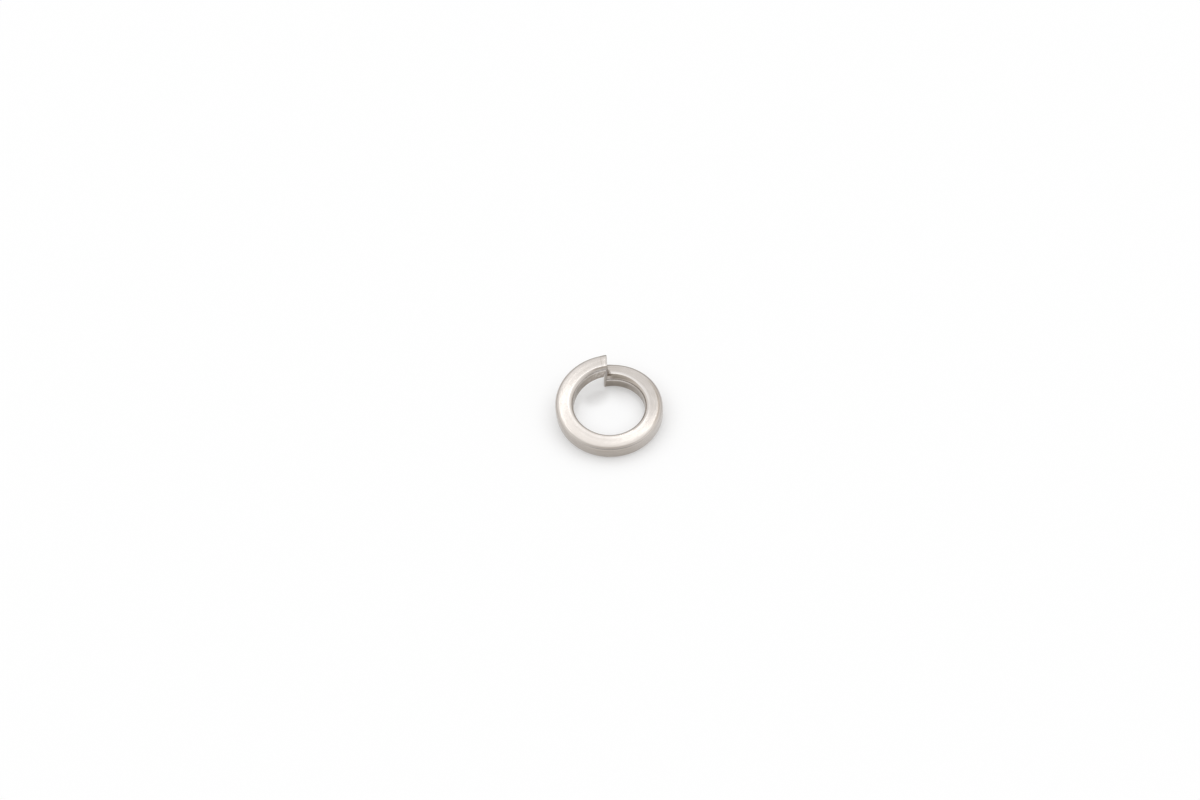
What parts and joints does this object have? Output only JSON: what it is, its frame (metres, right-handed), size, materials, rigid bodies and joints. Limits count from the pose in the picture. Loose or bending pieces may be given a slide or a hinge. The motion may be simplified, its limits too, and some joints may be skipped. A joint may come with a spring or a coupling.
{
  "type": "spring lock washer",
  "caption": "Split ring of square spring wire coiled into a short left-hand helix, with slant-cut ends that bite to keep a bolt or nut from turning loose.",
  "frame": {"origin": "on the bore's axis, level with the underside of the seated end", "axes": "+Z along the bore from the seated end towards the free end, +Y from the axis to the cut"},
  "size_m": [0.0093, 0.0092, 0.0032],
  "materials": {
    "steel": "satin, as drawn and tumbled"
  },
  "bodies": {
    "root": {"washer": "steel"}
  },
  "joints": []
}
